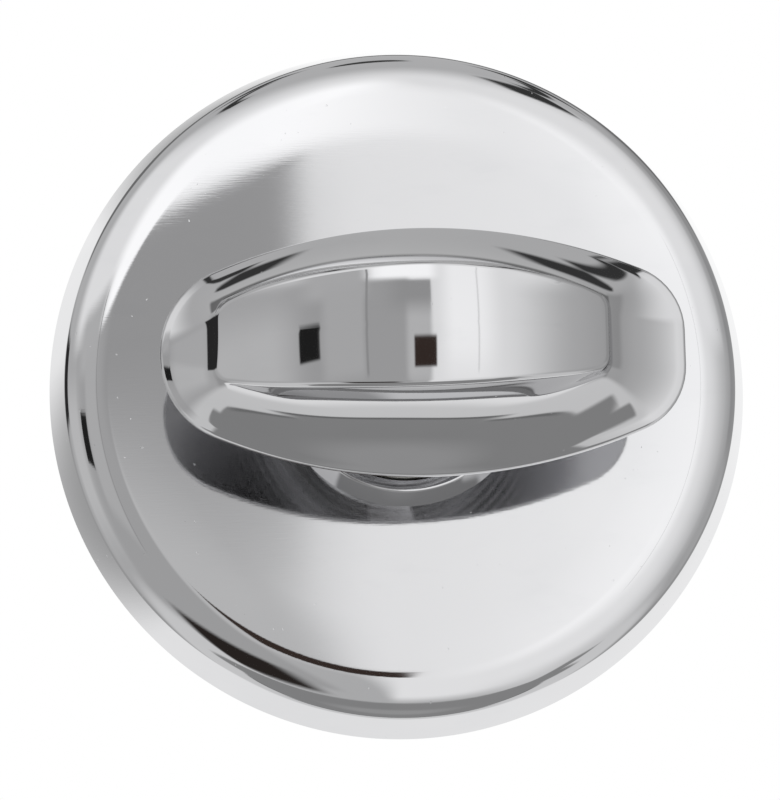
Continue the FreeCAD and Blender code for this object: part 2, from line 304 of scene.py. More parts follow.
@dataclass(frozen=True)
class PolishedChrome:
    """Bright chrome plate with hairline polishing marks, faint haze and a few pits.

    A turned zone, if given, lies between two distances from the door and keeps rough turning rings.
    """

    name: str
    slot: Slot
    colour: Colour = (0.64, 0.64, 0.65)
    haze_colour: Colour = (0.60, 0.603, 0.615)
    roughness: float = 0.03
    scratch_depth: float = 8.5e-7
    pit_level: Pair = (0.86, 0.89)
    turned_zone: Pair | None = None
    ring_rate: float = 11000.0
    ring_reach: Pair = (0.0135, 0.0095)

    def scratches(self, shader: Shader, place: bpy.types.NodeSocket) -> Value:
        """Fine hairlines left by the polishing mop in three directions.

        Args:
            shader: The material's tree.
            place: Object coordinates.

        Returns:
            The marks' height, about 0 to 1.
        """
        marks: Value | None = None
        for turn, weight in ((38.0, 0.5), (-22.0, 0.3), (75.0, 0.2)):
            mapped = shader.stretched(place, (1.0, 1.0, 16.0), (0.0, turn, 0.0))
            layer = shader.noise(mapped, 520.0, 3.0, 0.65) * weight
            marks = layer if marks is None else marks + layer
        return marks

    def material(self) -> bpy.types.Material:
        """Build the chrome's nodes.

        Returns:
            The material.
        """
        material, shader = new_material(self.name)
        place = shader.place()
        x, y, z = shader.axes(place)
        cloud = shader.noise(place, 70.0, 3.0)
        smear = shader.noise(shader.stretched(place, (1.0, 1.0, 3.0), (0.0, 30.0, 0.0)), 160.0, 4.0, 0.6)
        marks = self.scratches(shader, place)
        pits = shader.noise(place, 3200.0, 0.0).rise(*self.pit_level)
        haze = cloud.rise(0.35, 0.75) * 0.6 + smear.rise(0.5, 0.8) * 0.4
        roughness = haze * 0.035 + marks.rise(0.55, 0.75) * 0.05 + pits * 0.1 + self.roughness
        height = marks - pits * 4
        if self.turned_zone:
            radius = (x * x + z * z) ** 0.5
            near_neck = radius.rise(*self.ring_reach)
            rings = ((radius * self.ring_rate + cloud * 3.0).sine() * 0.5 + 0.5) * near_neck
            turned = y.window(-self.turned_zone[1] * MM, -self.turned_zone[0] * MM, 1e-4, 1e-4)
            roughness = roughness + turned * (rings * 0.08 + 0.12)
            height = height + turned * (rings * 4 + marks * 3)
        surface(shader, {
            "Base Color": shader.mix(haze, self.colour, self.haze_colour),
            "Metallic": 1.0,
            "Roughness": roughness,
            "Normal": shader.bump(height, 1.0, self.scratch_depth),
        })
        return material


@dataclass(frozen=True)
class CastZinc:
    """Die-cast zinc: dull grey with flow marks, a fine grain and four round ejector pin marks."""

    name: str = "cast_zinc_plate"
    slot: Slot = Slot.CAST_ZINC
    colour: Colour = (0.40, 0.41, 0.43)
    flow_colour: Colour = (0.50, 0.51, 0.53)
    pin_place: float = 0.0128
    pin_radius: float = 0.0017

    def material(self) -> bpy.types.Material:
        """Build the casting's nodes.

        Returns:
            The material.
        """
        material, shader = new_material(self.name)
        place = shader.place()
        flow = shader.noise(shader.stretched(place, (1.0, 1.0, 2.5), (0, 35, 0)), 140.0, 4.0, 0.6)
        grain = shader.noise(place, 2400.0, 2.0)
        x, _, z = shader.axes(place)
        beside, above = x.magnitude() - self.pin_place, z.magnitude() - self.pin_place
        pin = ((beside * beside + above * above) ** 0.5).rise(self.pin_radius + 1e-4, self.pin_radius - 1e-4)
        surface(shader, {
            "Base Color": shader.mix(flow.rise(0.3, 0.7), self.colour, self.flow_colour),
            "Metallic": 0.85,
            "Roughness": flow * 0.2 - pin * 0.08 + 0.42,
            "Normal": shader.bump(grain * 0.6 + flow * 0.4 - pin * 3, 0.35, 4e-5),
        })
        return material


@dataclass(frozen=True)
class RolledSteel:
    """Drawn or stamped steel with rolling lines, bright or phosphated."""

    name: str
    slot: Slot
    colour: Colour
    stain_colour: Colour
    roughness: float
    lines_along: tuple[float, float, float] = (1.0, 0.06, 1.0)

    def material(self) -> bpy.types.Material:
        """Build the steel's nodes.

        Returns:
            The material.
        """
        material, shader = new_material(self.name)
        place = shader.place()
        stain = shader.noise(place, 260.0, 3.0, 0.55)
        lines = shader.noise(shader.stretched(place, self.lines_along), 3200.0, 2.0, 0.5)
        surface(shader, {
            "Base Color": shader.mix(stain.rise(0.35, 0.75), self.colour, self.stain_colour),
            "Metallic": 1.0,
            "Roughness": lines * 0.12 + stain * 0.08 + self.roughness,
            "Normal": shader.bump(lines, 0.25, 8e-6),
        })
        return material


@dataclass(frozen=True)
class MouldedNylon:
    """Natural nylon: creamy white with faint swirls and a satin moulded skin."""

    name: str = "natural_nylon"
    slot: Slot = Slot.NYLON
    colour: Colour = (0.80, 0.785, 0.73)
    swirl_colour: Colour = (0.86, 0.85, 0.81)

    def material(self) -> bpy.types.Material:
        """Build the nylon's nodes.

        Returns:
            The material.
        """
        material, shader = new_material(self.name)
        place = shader.place()
        swirl = shader.noise(place, 320.0, 3.0, 0.55)
        skin = shader.noise(place, 5200.0, 2.0)
        surface(shader, {
            "Base Color": shader.mix(swirl.rise(0.3, 0.7), self.colour, self.swirl_colour),
            "Roughness": swirl * 0.15 + 0.38,
            "Normal": shader.bump(skin, 0.2, 1e-5),
        })
        return material


class ProfilePen:
    """Draws a chain of edges in the plane of radius and height, for a lathe to spin."""

    def __init__(self, radius: float, height: float) -> None:
        """Put the pen down.

        Args:
            radius: Distance from the axis.
            height: Height above the door.
        """
        self.mesh = bmesh.new()
        self.tip = self.mesh.verts.new((radius, 0.0, height))

    def line(self, radius: float, height: float) -> "ProfilePen":
        """Draw a straight edge.

        Args:
            radius: Where it ends, from the axis.
            height: Where it ends, above the door.

        Returns:
            The pen.
        """
        made = bmesh.ops.extrude_vert_indiv(self.mesh, verts=[self.tip])
        self.tip = made["verts"][0]
        self.tip.co = Vector((radius, 0.0, height))
        return self

    def arc(self, radius: float, height: float, angle: float, steps: int) -> "ProfilePen":
        """Draw an arc about a centre.

        Args:
            radius: The centre's distance from the axis.
            height: The centre's height above the door.
            angle: How far to go, in radians, positive from outwards towards the front.
            steps: Number of edges.

        Returns:
            The pen.
        """
        made = bmesh.ops.spin(self.mesh, geom=[self.tip], cent=(radius, 0.0, height), axis=(0.0, -1.0, 0.0),
                              angle=angle, steps=steps)
        self.tip = next(part for part in made["geom_last"] if isinstance(part, bmesh.types.BMVert))
        return self

    def screw(self, pitch: float, turns: int, steps: int) -> bmesh.types.BMesh:
        """Wind the chain round the axis as a screw thread.

        Args:
            pitch: Rise in one turn, which is also the chain's height.
            turns: Number of turns.
            steps: Number of steps in a turn.

        Returns:
            The wound mesh, open at both ends.
        """
        mesh = self.mesh
        bmesh.ops.spin(mesh, geom=mesh.verts[:] + mesh.edges[:], cent=(0, 0, 0), axis=(0, 0, 1),
                       angle=FULL_TURN * turns, steps=steps * turns, dvec=(0, 0, pitch / steps))
        bmesh.ops.remove_doubles(mesh, verts=mesh.verts, dist=MERGE_MM)
        return mesh

    def lathe(self, steps: int) -> bmesh.types.BMesh:
        """Spin the chain once round the axis.

        Args:
            steps: Number of steps round the circle.

        Returns:
            The turned mesh.
        """
        mesh = self.mesh
        bmesh.ops.remove_doubles(mesh, verts=mesh.verts, dist=MERGE_MM)
        bmesh.ops.spin(mesh, geom=mesh.verts[:] + mesh.edges[:], cent=(0, 0, 0), axis=(0, 0, 1),
                       angle=FULL_TURN, steps=steps, use_merge=True)
        bmesh.ops.remove_doubles(mesh, verts=mesh.verts, dist=MERGE_MM)
        return mesh


def cut_level(mesh: bmesh.types.BMesh, height: float, keep_above: bool) -> None:
    """Cut a mesh level with the door and drop one side.

    Args:
        mesh: The mesh, in millimetres over the door's face.
        height: Where to cut.
        keep_above: Whether the side away from the door's inside is kept.
    """
    geometry = mesh.verts[:] + mesh.edges[:] + mesh.faces[:]
    bmesh.ops.bisect_plane(mesh, geom=geometry, dist=MERGE_MM, plane_co=(0, 0, height), plane_no=(0, 0, 1),
                           clear_inner=keep_above, clear_outer=not keep_above)


def solid_copy(node: str) -> bmesh.types.BMesh:
    """Copy a CAD node's mesh and join its triangles.

    Args:
        node: The node's name.

    Returns:
        The copy, in millimetres over the door's face.
    """
    mesh = bmesh.new()
    mesh.from_mesh(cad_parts[node].data)
    mesh.transform(DOOR_TO_ROW.inverted())
    bmesh.ops.remove_doubles(mesh, verts=mesh.verts, dist=MERGE_MM)
    return mesh


def finished_piece(mesh: bmesh.types.BMesh, name: str, body: Body, finish: Any, node: str,
                   sharp_deg: float = 40.0) -> bpy.types.Object:
    """Turn a drawn mesh into a piece of the part.

    Args:
        mesh: The mesh, in millimetres over the door's face.
        name: The piece's name.
        body: The body that it rides on.
        finish: The finish that dresses it.
        node: The CAD node that it stands for.
        sharp_deg: Edges that turn by more than this stay sharp.

    Returns:
        The piece's object.
    """
    bmesh.ops.recalc_face_normals(mesh, faces=mesh.faces)
    mesh.transform(DOOR_TO_ROW)
    for face in mesh.faces:
        face.smooth = True
    limit = math.radians(sharp_deg)
    for edge in mesh.edges:
        edge.smooth = not (edge.is_manifold and edge.calc_face_angle(0.0) > limit)
    data = bpy.data.meshes.new(name)
    mesh.to_mesh(data)
    mesh.free()
    data.materials.append(finish.material())
    piece = bpy.data.objects.new(name, data)
    bpy.context.scene.collection.objects.link(piece)
    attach(piece, body.value)
    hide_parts(node)
    LOG.info("%s: %d faces on %s", name, len(data.polygons), body.value)
    return piece


@dataclass
class Rosette:
    """Turned chrome cap with a tapered wall, a rounded edge, a shallow dome and a raised collar."""

    radius: float = 25.0
    wall_taper: float = 1.1
    wall_height: float = 3.9
    edge_radius: float = 2.0
    edge_end_deg: float = 60.0
    shoulder_radius: float = 5.0
    shoulder_end_deg: float = 87.6
    brow_radius: float = 130.0
    dome_radius: float = 1200.0
    sheet: float = 1.2
    collar_foot_radius: float = 9.05
    collar_top_radius: float = 8.15
    collar_height: float = 1.4
    collar_lip: float = 0.25
    hole_radius: float = 7.4
    round_steps: int = 28
    dome_steps: int = 24
    lip_steps: int = 6
    turn_steps: int = 288

    def cover_mesh(self) -> bmesh.types.BMesh:
        """Turn the cap from its profile.

        Returns:
            The cap's mesh.
        """
        draft = math.atan2(self.wall_taper, self.wall_height)
        turns = [draft, math.radians(self.edge_end_deg), math.radians(self.shoulder_end_deg)]
        radii = [self.edge_radius, self.shoulder_radius, self.brow_radius]
        radius, height = self.radius - self.wall_taper, self.wall_height
        centres = []
        for number, (turn, size) in enumerate(zip(turns, radii)):
            centre = (radius - size * math.cos(turn), height - size * math.sin(turn))
            centres.append(centre)
            if number + 1 < len(turns):
                radius = centre[0] + size * math.cos(turns[number + 1])
                height = centre[1] + size * math.sin(turns[number + 1])
        turns.append(math.acos(centres[-1][0] / (self.dome_radius - self.brow_radius)))
        slope = turns[-1]
        dome_z = centres[-1][1] - (self.dome_radius - self.brow_radius) * math.sin(slope)
        steps = [self.round_steps, self.round_steps, self.dome_steps]

        def dome_angle(radius: float, depth: float) -> float:
            """Angle of the dome's surface point at a radius, about the dome's centre."""
            return math.acos(radius / (self.dome_radius - depth))

        foot_angle = dome_angle(self.collar_foot_radius, 0.0)
        foot_height = dome_z + self.dome_radius * math.sin(foot_angle)
        top = foot_height + self.collar_height
        lip = self.collar_lip
        pen = ProfilePen(self.radius, 0.0)
        pen.line(self.radius - self.wall_taper, self.wall_height)
        for centre, first, second, count in zip(centres, turns, turns[1:], steps):
            pen.arc(*centre, second - first, count)
        pen.arc(0.0, dome_z, foot_angle - slope, self.dome_steps)
        lean = math.atan2(self.collar_height, self.collar_foot_radius - self.collar_top_radius)
        reach = lip * math.tan(lean / 2)
        pen.line(self.collar_top_radius + reach * math.cos(lean), top - reach * math.sin(lean))
        pen.arc(self.collar_top_radius - reach, top - lip, lean, self.lip_steps)
        pen.line(self.hole_radius, top)
        inner_angle = dome_angle(self.hole_radius, self.sheet)
        pen.line(self.hole_radius, dome_z + (self.dome_radius - self.sheet) * math.sin(inner_angle))
        pen.arc(0.0, dome_z, slope - inner_angle, self.dome_steps // 3)
        for centre, first, second in reversed(list(zip(centres, turns, turns[1:]))):
            pen.arc(*centre, first - second, self.round_steps // 4)
        pen.line(self.radius - self.sheet / math.cos(draft), 0.0)
        pen.line(self.radius, 0.0)
        return pen.lathe(self.turn_steps)

    def build(self) -> None:
        """Make the cover and dress it."""
        finished_piece(self.cover_mesh(), "rosette_cover_chrome", Body.ROSE,
                       PolishedChrome("chrome_cover_polish", Slot.CHROME_COVER), "rosette_cover")


@dataclass(frozen=True)
class LensOutline:
    """Lens with two long arcs, two short straight ends and rounded corners; pairs are left and right."""

    half_length: float
    half_width: float
    end_half: Pair
    corner: Pair
    shift: Pair

    def quarter(self, end_half: float, corner: float, steps: tuple[int, int, int]) -> list[Pair]:
        """Points from the middle of the upper long side to the middle of the right end.

        Args:
            end_half: Half of the end's width, before its corners are rounded.
            corner: Radius of the corner.
            steps: Numbers of points on the long arc, the corner and the end.

        Returns:
            The points, without the last one.
        """
        drop = self.half_width - end_half
        arc_radius = (self.half_length ** 2 + drop ** 2) / (2 * drop)
        arc_centre = self.half_width - arc_radius
        corner_x = self.half_length - corner
        corner_y = arc_centre + math.sqrt((arc_radius - corner) ** 2 - corner_x ** 2)
        lean = math.atan2(corner_y - arc_centre, corner_x)
        points = []
        for step in range(steps[0]):
            angle = math.pi / 2 + (lean - math.pi / 2) * step / steps[0]
            points.append((arc_radius * math.cos(angle), arc_centre + arc_radius * math.sin(angle)))
        for step in range(steps[1]):
            angle = lean * (1 - step / steps[1])
            points.append((corner_x + corner * math.cos(angle), corner_y + corner * math.sin(angle)))
        for step in range(steps[2]):
            points.append((self.half_length, corner_y * (1 - step / steps[2])))
        return points

    def loop(self, steps: tuple[int, int, int]) -> list[Pair]:
        """Points once round the lens, clockwise from the middle of the upper side.

        Args:
            steps: Numbers of points on a quarter's long arc, corner and end.

        Returns:
            The points.
        """
        halves = []
        for end_half, corner in zip(self.end_half, self.corner):
            upper = self.quarter(end_half, corner, steps)
            halves.append(upper + [(x, -y) for x, y in [(self.half_length, 0.0)] + upper[:0:-1]])
        round_points = halves[1] + [(-x, -y) for x, y in halves[0]]
        return [(x + self.shift[0], y + self.shift[1]) for x, y in round_points]


@dataclass
class ThumbTurn:
    """The turn: a lens-shaped grip with coved flanks and an arched face, on a flared neck."""

    rim_back: float = 20.3
    rim_thickness: float = 0.9
    rim_half_length: float = 17.65
    rim_half_width: float = 8.42
    rim_end_half: Pair = (3.75, 4.1)
    rim_corner: Pair = (5.8, 4.6)
    rim_shift: Pair = (0.39, -0.42)
    face_half_length: float = 12.8
    face_half_width: float = 4.02
    face_end_half: Pair = (2.4, 2.3)
    face_corner: Pair = (1.2, 1.1)
    face_end_rise: float = 5.0
    face_crest_rise: float = 10.8
    end_cove_share: float = 0.35
    end_power: float = 1.9
    face_shift: Pair = (-0.6, -0.24)
    face_lean: Pair = (0.0647, 0.061)
    face_crown: float = 30.0
    face_edge: float = 0.3
    face_edge_drop: float = 0.4
    rim_front_edge: float = 0.22
    rim_back_edge: float = 0.2
    neck_radius: float = 7.0
    neck_flare_radius: float = 7.6
    neck_flare_height: float = 2.2
    neck_flare_steps: int = 12
    neck_rings: Pair = (14.0, 10.0)
    neck_foot: float = 6.9
    shank_overlap: float = 0.2
    turned_depth: Pair = (0.15, 0.05)
    steps: tuple[int, int, int] = (34, 10, 5)
    flank_rows: int = 26
    face_rows: int = 12
    climb_samples: int = 260
    edge_room: float = 0.62
    spine_share: float = 0.72

    def cove_left(self, run: float, rise: float, climb: float) -> float:
        """Distance still to go to the face on a hollow flank that ends upright.

        Args:
            run: The whole distance.
            rise: The height at which it ends.
            climb: The height reached.

        Returns:
            The distance left.
        """
        if climb >= rise:
            return 0.0
        radius = (run ** 2 + rise ** 2) / (2 * run)
        return radius - math.sqrt(radius ** 2 - (rise - climb) ** 2)

    def end_left(self, run: float, climb: float) -> float:
        """Distance still to go to the face at the grip's ends, where the hollow starts off steeper.

        Args:
            run: The whole distance.
            climb: The height reached.

        Returns:
            The distance left.
        """
        hollow = self.cove_left(run, self.face_end_rise, climb)
        slope = run * max(0.0, 1 - climb / self.face_end_rise) ** self.end_power
        return hollow * self.end_cove_share + slope * (1 - self.end_cove_share)

    def section(self, climb: float) -> LensOutline:
        """Outline of the grip at a height above its rim.

        Args:
            climb: The height.

        Returns:
            The outline.
        """
        run = self.rim_half_length - self.face_half_length
        length_left = self.end_left(run, climb)
        width_left = self.cove_left(self.rim_half_width - self.face_half_width, self.face_crest_rise, climb)
        share = length_left / run

        def between(face: Pair, rim: Pair) -> Pair:
            """Pair part of the way from the face's to the rim's."""
            return face[0] + (rim[0] - face[0]) * share, face[1] + (rim[1] - face[1]) * share

        return LensOutline(
            self.face_half_length + length_left,
            self.face_half_width + width_left,
            between(self.face_end_half, self.rim_end_half),
            between(self.face_corner, self.rim_corner),
            between(self.face_shift, self.rim_shift),
        )

    def face_height(self, x: float, y: float) -> float:
        """Height of the arched and crowned face over the door.

        Args:
            x: Place along the grip.
            y: Place across the grip.

        Returns:
            The height.
        """
        sagitta = self.face_crest_rise - self.face_end_rise
        arch = (self.face_half_length ** 2 + sagitta ** 2) / (2 * sagitta)
        crest = self.rim_back + self.rim_thickness + self.face_crest_rise
        across = y - self.face_shift[1]
        radius = arch - (self.face_crown - math.sqrt(self.face_crown ** 2 - across ** 2))
        along = x - self.face_shift[0]
        lean = along * self.face_lean[0] + across * self.face_lean[1]
        return crest - arch + math.sqrt(max(radius ** 2 - along ** 2, 0.0)) + lean

    def flank_columns(self) -> list[list[Vector]]:
        """Paths up the flank from the rim to the face, one for each point of the outline.

        Returns:
            For each column, points evenly spaced along it with room for the edge rounds.
        """
        front = self.rim_back + self.rim_thickness
        climbs = [self.face_crest_rise * (n / self.climb_samples) ** 2 for n in range(self.climb_samples + 1)]
        levels = [[Vector((x, y, front + climb)) for x, y in self.section(climb).loop(self.steps)]
                  for climb in climbs]
        return [self.spaced(self.up_to_face([level[number] for level in levels]))
                for number in range(len(levels[0]))]

    def up_to_face(self, path: list[Vector]) -> list[Vector]:
        """Cut a path where it meets the arched face.

        Args:
            path: Points from the rim upwards.

        Returns:
            The points below the face, and the point on it.
        """
        low_end = self.face_end_rise - self.face_half_length * self.face_lean[0]
        lowest = self.rim_back + self.rim_thickness + low_end - self.face_edge_drop
        kept = [path[0]]
        for point in path[1:]:
            over = point.z - self.face_height(point.x, point.y)
            if over >= 0.0 and point.z > lowest:
                last = kept[-1]
                under = self.face_height(last.x, last.y) - last.z
                meeting = last.lerp(point, under / (under + over))
                meeting.z = self.face_height(meeting.x, meeting.y)
                return kept + [meeting]
            kept.append(point)
        end = kept[-1].copy()
        end.z = self.face_height(end.x, end.y)
        return kept + [end]

    def spaced(self, path: list[Vector]) -> list[Vector]:
        """Space points evenly along a path, with a longer first and last stretch.

        Args:
            path: The path's points, close together.

        Returns:
            The spaced points.
        """
        reach = [0.0]
        for first, second in zip(path, path[1:]):
            reach.append(reach[-1] + (second - first).length)
        inner = reach[-1] - 2 * self.edge_room
        stops = [0.0] + [self.edge_room + inner * n / self.flank_rows for n in range(self.flank_rows + 1)]
        points, number = [], 0
        for stop in stops + [reach[-1]]:
            while number < len(path) - 2 and reach[number + 1] < stop:
                number += 1
            stretch = max(reach[number + 1] - reach[number], 1e-9)
            points.append(path[number].lerp(path[number + 1], min((stop - reach[number]) / stretch, 1.0)))
        return points

    def face_ring(self, edge: list[Vector], share: float) -> list[Vector]:
        """Points of the face part of the way from its outline to its spine.

        Args:
            edge: The outline.
            share: 0 at the outline and 1 at the spine.

        Returns:
            The ring's points.
        """
        ring = []
        across, along = self.face_shift[1], self.face_shift[0]
        for point in edge:
            middle = along + (point.x - along) * self.spine_share
            x = point.x + (middle - point.x) * share
            y = point.y + (across - point.y) * share
            ring.append(Vector((x, y, self.face_height(x, y))))
        return ring

    def neck_profile(self) -> list[tuple[float, float]]:
        """Radius and height pairs from the grip's back down the flare and the neck."""
        run = self.neck_flare_radius - self.neck_radius
        flare = []
        for step in range(self.neck_flare_steps + 1):
            angle = math.pi / 2 * (1 - step / self.neck_flare_steps)
            flare.append((self.neck_radius + run * (1 - math.cos(angle)),
                          self.rim_back - self.neck_flare_height * (1 - math.sin(angle))))
        return flare + [(self.neck_radius, height) for height in (*self.neck_rings, self.neck_foot)]

    def grip_mesh(self) -> bmesh.types.BMesh:
        """Loft the grip and its neck as one closed skin.

        Returns:
            The mesh.
        """
        columns = self.flank_columns()
        edge = [column[-1] for column in columns]
        rim = [column[0] for column in columns]
        back = [Vector((point.x, point.y, self.rim_back)) for point in rim]
        angles = [math.atan2(point.y, point.x) for point in rim]
        rings = [[Vector((radius * math.cos(a), radius * math.sin(a), height)) for a in angles]
                 for radius, height in reversed(self.neck_profile())]
        rings.append(back)
        rings += [list(row) for row in zip(*columns)]
        rings += [self.face_ring(edge, (n + 1) / self.face_rows) for n in range(self.face_rows)]
        mesh = bmesh.new()
        loops = [self.closed_loop(mesh, ring) for ring in rings]
        for lower, upper in zip(loops, loops[1:]):
            bmesh.ops.bridge_loops(mesh, edges=lower + upper)
        bmesh.ops.edgeloop_fill(mesh, edges=loops[0])
        neck_count = len(self.neck_profile())
        marked = [(loops[neck_count], self.rim_back_edge, 4), (loops[neck_count + 1], self.rim_front_edge, 4),
                  (loops[-self.face_rows - 1], self.face_edge, 5)]
        for edges, offset, segments in marked:
            bmesh.ops.bevel(mesh, geom=edges, offset=offset, offset_type="OFFSET", segments=segments,
                            profile=0.5, affect="EDGES", material=-1, clamp_overlap=False)
        bmesh.ops.remove_doubles(mesh, verts=mesh.verts, dist=MERGE_MM)
        return mesh

    @staticmethod
    def closed_loop(mesh: bmesh.types.BMesh, points: list[Vector]) -> list[bmesh.types.BMEdge]:
        """Add a closed chain of edges.

        Args:
            mesh: The mesh to add to.
            points: The chain's points, in order.

        Returns:
            The chain's edges.
        """
        verts = [mesh.verts.new(point) for point in points]
        return [mesh.edges.new((verts[n - 1], verts[n])) for n in range(len(verts))]

    def shank_mesh(self) -> bmesh.types.BMesh:
        """Take the shank, with its groove, socket and pin hole, from the solid behind the shoulder.

        Returns:
            The mesh, in millimetres over the door's face.
        """
        mesh = solid_copy("thumb_turn")
        cut_level(mesh, self.neck_foot + self.shank_overlap, keep_above=False)
        return mesh

    def build(self) -> None:
        """Make the grip, the neck and the shank, and dress them."""
        turned_zone = self.rim_back - self.turned_depth[0], self.rim_back + self.turned_depth[1]
        chrome = PolishedChrome("chrome_turn_polish", Slot.CHROME_TURN, (0.60, 0.60, 0.61), (0.56, 0.562, 0.572),
                                scratch_depth=1.5e-7, turned_zone=turned_zone)
        grip = finished_piece(self.grip_mesh(), "thumb_turn_grip", Body.TURN, chrome, "thumb_turn", 60.0)
        weighted = grip.modifiers.new("even_normals", "WEIGHTED_NORMAL")
        weighted.keep_sharp = True
        finished_piece(self.shank_mesh(), "thumb_turn_shank", Body.TURN,
                       PolishedChrome("chrome_shank_polish", Slot.CHROME_TURN), "thumb_turn")


@dataclass
class FixingBolts:
    """Two countersunk bolts: heads and plain shanks from the solid, with threaded rods further back."""

    spacing: float = 38.0
    plain_length: float = 10.0
    reach: float = 42.0
    overlap: float = 0.4
    pitch: float = 0.7
    root_radius: float = 1.57
    crest_radius: float = 1.97
    root_flat: float = 0.16
    crest_flat: float = 0.09
    point_radius: float = 1.25
    point_length: float = 0.8
    turn_steps: int = 28

    def head_mesh(self) -> bmesh.types.BMesh:
        """Take the heads and the plain shanks from the solid.

        Returns:
            The mesh.
        """
        mesh = solid_copy("fixing_bolts")
        cut_level(mesh, -self.plain_length, keep_above=True)
        bmesh.ops.holes_fill(mesh, edges=[edge for edge in mesh.edges if edge.is_boundary])
        return mesh

    def thread_mesh(self) -> bmesh.types.BMesh:
        """Wind the thread of one rod, close its ends, point it and copy it for the other bolt.

        Returns:
            The mesh of both rods.
        """
        turns = math.ceil((self.reach - self.plain_length) / self.pitch) + 3
        flank = (self.pitch - self.root_flat - self.crest_flat) / 2
        foot = -self.reach - 1.5 * self.pitch
        pen = ProfilePen(self.root_radius, foot)
        pen.line(self.root_radius, foot + self.root_flat)
        pen.line(self.crest_radius, foot + self.root_flat + flank)
        pen.line(self.crest_radius, foot + self.root_flat + flank + self.crest_flat)
        pen.line(self.root_radius, foot + self.pitch)
        mesh = pen.screw(self.pitch, turns, self.turn_steps)
        cut_level(mesh, -self.reach, keep_above=True)
        cut_level(mesh, -self.plain_length + self.overlap, keep_above=False)
        bmesh.ops.holes_fill(mesh, edges=[edge for edge in mesh.edges if edge.is_boundary])
        slope = (self.crest_radius - self.point_radius) / self.point_length
        for vert in mesh.verts:
            limit = self.point_radius + (vert.co.z + self.reach) * slope
            vert.co.xy *= min(1.0, limit / vert.co.xy.length)
        bmesh.ops.translate(mesh, verts=mesh.verts, vec=(-self.spacing / 2, 0, 0))
        copied = bmesh.ops.duplicate(mesh, geom=mesh.verts[:] + mesh.edges[:] + mesh.faces[:])["geom"]
        second = [part for part in copied if isinstance(part, bmesh.types.BMVert)]
        bmesh.ops.translate(mesh, verts=second, vec=(self.spacing, 0, 0))
        return mesh

    def build(self) -> None:
        """Make the heads and the threaded rods, and dress them."""
        finished_piece(self.head_mesh(), "fixing_bolt_heads", Body.ROSE,
                       RolledSteel("zinc_plated_heads", Slot.PLATED_STEEL, *ZINC_PLATE, 0.22), "fixing_bolts")
        finished_piece(self.thread_mesh(), "fixing_bolt_threads", Body.ROSE,
                       RolledSteel("zinc_plated_threads", Slot.PLATED_STEEL, *ZINC_PLATE, 0.26, (1.0, 1.0, 1.0)),
                       "fixing_bolts", 30.0)


@dataclass(frozen=True)
class HardwareDress:
    """Finishes of the hardware that keeps its CAD shape."""

    zinc: CastZinc = CastZinc()
    nylon: MouldedNylon = MouldedNylon()
    spring: RolledSteel = RolledSteel("bright_spring_steel", Slot.SPRING_STEEL, (0.50, 0.50, 0.52),
                                      (0.43, 0.43, 0.45), 0.24)
    phosphated: RolledSteel = RolledSteel("phosphated_spring_steel", Slot.DARK_SPRING_STEEL,
                                          (0.075, 0.075, 0.082), (0.12, 0.12, 0.13), 0.42)
    plated: RolledSteel = RolledSteel("zinc_plated_steel", Slot.PLATED_STEEL, *ZINC_PLATE, 0.22)

    def build(self) -> None:
        """Give each hardware node its material."""
        finishes = {
            "base_plate": self.zinc,
            "snap_ring": self.spring,
            "wave_washer": self.spring,
            "neck_bush": self.nylon,
            "thrust_washer": self.nylon,
            "backing_washer": self.plated,
            "spindle": self.plated,
            "retaining_ring": self.phosphated,
            "spindle_pin": self.phosphated,
        }
        made: dict[str, bpy.types.Material] = {}
        for node, finish in finishes.items():
            if finish.name not in made:
                made[finish.name] = finish.material()
            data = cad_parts[node].data
            data.materials.clear()
            data.materials.append(made[finish.name])
            LOG.info("%s: dressed in %s", node, finish.name)


@dataclass(frozen=True)
class LightPatch:
    """A soft-edged patch of the studio's surroundings, given by the angles that it covers.

    The softness is that of the left, right, lower and upper edge. Azimuth runs to the right, from
    straight in front of the part, or from straight behind it.
    """

    azimuth: Pair
    elevation: Pair
    soft: tuple[float, float, float, float]
    light: float
    tint: Colour = (1.0, 1.0, 1.0)
    behind: bool = False

    def colour(self) -> Colour:
        """Brightness of the patch in red, green and blue."""
        return self.light * self.tint[0], self.light * self.tint[1], self.light * self.tint[2]

    def mask(self, azimuth: Value, elevation: Value) -> Value:
        """Share of the patch in each direction.

        Args:
            azimuth: The direction's azimuth, in degrees.
            elevation: The direction's elevation, in degrees.

        Returns:
            The mask.
        """
        left, right, below, above = self.soft
        up = elevation.window(*self.elevation, below, above)
        all_round = self.azimuth[1] - self.azimuth[0] >= 360
        return up if all_round else up * azimuth.window(*self.azimuth, left, right)


